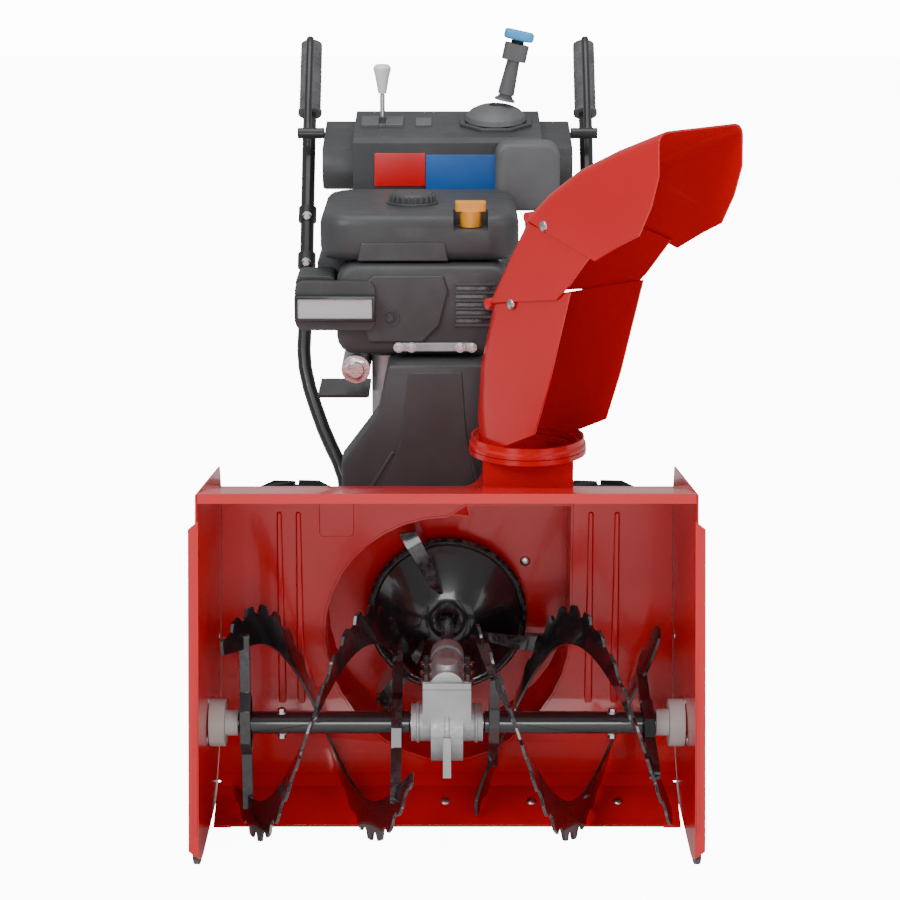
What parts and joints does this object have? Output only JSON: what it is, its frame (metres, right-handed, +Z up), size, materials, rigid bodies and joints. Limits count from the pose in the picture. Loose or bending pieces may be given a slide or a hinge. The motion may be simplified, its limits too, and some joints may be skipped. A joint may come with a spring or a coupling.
{
  "type": "two stage snowblower",
  "caption": "Walk-behind two stage snow blower with a serrated ribbon auger, impeller, turning discharge chute, engine, wheels and handlebar controls.",
  "frame": {"origin": "centre of the bounding box in plan, on the ground under the skids and tyres", "axes": "+X to the right of someone facing the auger, +Y rearward to the handles, +Z up; metres"},
  "size_m": [0.8027, 1.3292, 1.1502],
  "materials": {
    "red_paint": "gloss red powder coat",
    "gloss_black": "gloss black enamel",
    "black_paint": "satin black enamel",
    "charcoal_plastic": "moulded charcoal plastic with a fine grain",
    "grey_plastic": "moulded grey plastic",
    "light_plastic": "light grey moulded nylon",
    "tyre_rubber": "black tyre rubber",
    "grip_rubber": "soft dark grey rubber",
    "zinc_steel": "zinc plated steel",
    "cast_aluminium": "as-cast aluminium",
    "brass": "machined bronze gear",
    "orange_plastic": "orange moulded plastic",
    "blue_plastic": "light blue moulded plastic",
    "white_plastic": "white moulded plastic",
    "clear_lens": "clear lens over a white reflector"
  },
  "bodies": {
    "frame": {"auger_housing_wrap": "red_paint", "housing_side_plate_left": "red_paint", "housing_side_plate_right": "red_paint", "impeller_housing": "red_paint", "scraper_bar": "red_paint", "skid_shoe_left": "black_paint", "skid_shoe_right": "black_paint", "auger_bearing_left": "light_plastic", "auger_bearing_right": "light_plastic", "gearbox_case": "cast_aluminium", "gearbox_cap": "cast_aluminium", "chassis_frame": "black_paint", "belt_cover": "charcoal_plastic", "engine_block": "cast_aluminium", "engine_shroud": "charcoal_plastic", "fuel_tank": "charcoal_plastic", "muffler": "zinc_steel", "recoil_starter_cover": "charcoal_plastic", "electric_starter": "zinc_steel", "carburettor_heater_box": "charcoal_plastic", "engine_shelf": "black_paint", "headlight_housing": "charcoal_plastic", "headlight_lens": "clear_lens", "handlebar_left": "black_paint", "handlebar_right": "black_paint", "grip_left": "grip_rubber", "grip_right": "grip_rubber", "console": "charcoal_plastic", "joystick_dome": "grey_plastic", "chute_gear_cover": "grey_plastic", "chute_control_rod": "zinc_steel"},
    "auger": {"auger_left": "gloss_black", "auger_right": "gloss_black", "auger_shaft": "zinc_steel", "worm_gear": "brass"},
    "impeller_rotor": {"impeller": "gloss_black", "impeller_shaft": "zinc_steel", "impeller_pulley": "black_paint"},
    "crank": {"engine_pulley": "zinc_steel"},
    "chute": {"chute_ring": "red_paint", "chute_tube": "red_paint"},
    "chute_mid": {"deflector_mid": "red_paint"},
    "chute_top": {"deflector_top": "red_paint"},
    "wheel_left": {"tyre_left": "tyre_rubber", "wheel_rim_left": "zinc_steel", "axle_left": "zinc_steel"},
    "wheel_right": {"tyre_right": "tyre_rubber", "wheel_rim_right": "zinc_steel", "axle_right": "zinc_steel"},
    "auger_hand_lever": {"auger_lever": "black_paint"},
    "traction_hand_lever": {"traction_lever": "black_paint"},
    "speed_selector": {"speed_lever": "zinc_steel", "speed_knob": "white_plastic"},
    "joystick_gimbal": {"joystick_collar": "grey_plastic"},
    "joystick": {"joystick_stick": "grey_plastic"},
    "joystick_button": {"joystick_trigger": "blue_plastic"},
    "tank_cap": {"fuel_cap": "charcoal_plastic"},
    "filler_cap": {"oil_fill_cap": "orange_plastic"},
    "starter_pull": {"recoil_handle": "grey_plastic"},
    "choke": {"choke_knob": "grey_plastic"}
  },
  "joints": [
    {"name": "auger_spin", "type": "hinge", "parent": "frame", "child": "auger", "pos_m": [-0.024, -0.487, 0.19], "axis": [1, 0, 0], "continuous": true},
    {"name": "impeller_spin", "type": "hinge", "parent": "frame", "child": "impeller_rotor", "pos_m": [-0.024, -0.237, 0.262], "axis": [0, 1, 0], "continuous": true},
    {"name": "crank_spin", "type": "hinge", "parent": "frame", "child": "crank", "pos_m": [-0.039, -0.12, 0.6], "axis": [0, 1, 0], "continuous": true},
    {"name": "chute_turn", "type": "hinge", "parent": "frame", "child": "chute", "pos_m": [0.103, -0.229, 0.564], "axis": [0, 0, 1], "range_deg": [-135, 55]},
    {"name": "deflector_mid_tilt", "type": "hinge", "parent": "chute", "child": "chute_mid", "pos_m": [0.09529, -0.21981, 0.79], "axis": [0.766, 0.6428, 0], "range_deg": [-8, 18]},
    {"name": "deflector_top_tilt", "type": "hinge", "parent": "chute_mid", "child": "chute_top", "pos_m": [0.15249, -0.28798, 0.9335], "axis": [0.766, 0.6428, 0], "range_deg": [-8, 18]},
    {"name": "wheel_left_spin", "type": "hinge", "parent": "frame", "child": "wheel_left", "pos_m": [-0.289, 0.093, 0.2], "axis": [1, 0, 0], "continuous": true},
    {"name": "wheel_right_spin", "type": "hinge", "parent": "frame", "child": "wheel_right", "pos_m": [0.241, 0.093, 0.2], "axis": [1, 0, 0], "continuous": true},
    {"name": "auger_lever_squeeze", "type": "hinge", "parent": "frame", "child": "auger_hand_lever", "pos_m": [-0.28, 0.473, 0.958], "axis": [-1, 0, 0], "range_deg": [0, 4.2], "stiffness_Nm_per_rad": 1.5},
    {"name": "traction_lever_squeeze", "type": "hinge", "parent": "frame", "child": "traction_hand_lever", "pos_m": [0.232, 0.473, 0.958], "axis": [-1, 0, 0], "range_deg": [0, 4.2], "stiffness_Nm_per_rad": 1.5},
    {"name": "speed_lever_swing", "type": "hinge", "parent": "frame", "child": "speed_selector", "pos_m": [-0.142, 0.448, 0.986], "axis": [1, 0, 0], "range_deg": [-20, 20]},
    {"name": "joystick_side", "type": "hinge", "parent": "frame", "child": "joystick_gimbal", "pos_m": [0.063, 0.448, 0.948], "axis": [0, 1, 0], "range_deg": [-38, 16]},
    {"name": "joystick_fore", "type": "hinge", "parent": "joystick_gimbal", "child": "joystick", "pos_m": [0.063, 0.448, 0.948], "axis": [1, 0, 0], "range_deg": [-6, 13]},
    {"name": "joystick_press", "type": "slide", "parent": "joystick", "child": "joystick_button", "axis": [-0.2164, 0, -0.9763], "range_m": [0, 0.006], "stiffness_N_per_m": 200},
    {"name": "fuel_cap_turn", "type": "hinge", "parent": "frame", "child": "tank_cap", "pos_m": [-0.082, 0.073, 0.893], "axis": [0, 0, 1], "range_deg": [0, 90]},
    {"name": "filler_cap_turn", "type": "hinge", "parent": "frame", "child": "filler_cap", "pos_m": [0.014, -0.017, 0.893], "axis": [0, 0, 1], "range_deg": [0, 90]},
    {"name": "starter_pull_slide", "type": "slide", "parent": "frame", "child": "starter_pull", "axis": [0, 1, 0], "range_m": [0, 0.3], "stiffness_N_per_m": 30},
    {"name": "choke_turn", "type": "hinge", "parent": "frame", "child": "choke", "pos_m": [-0.196, 0.124, 0.76], "axis": [0, 1, 0], "range_deg": [0, 90]}
  ],
  "couplings": [
    {"joint": "impeller_spin", "follows": "auger_spin", "ratio": -10},
    {"joint": "joystick_side", "follows": "chute_turn", "ratio": 0.28},
    {"joint": "deflector_top_tilt", "follows": "deflector_mid_tilt", "ratio": 1},
    {"joint": "joystick_fore", "follows": "deflector_mid_tilt", "ratio": 0.7}
  ]
}
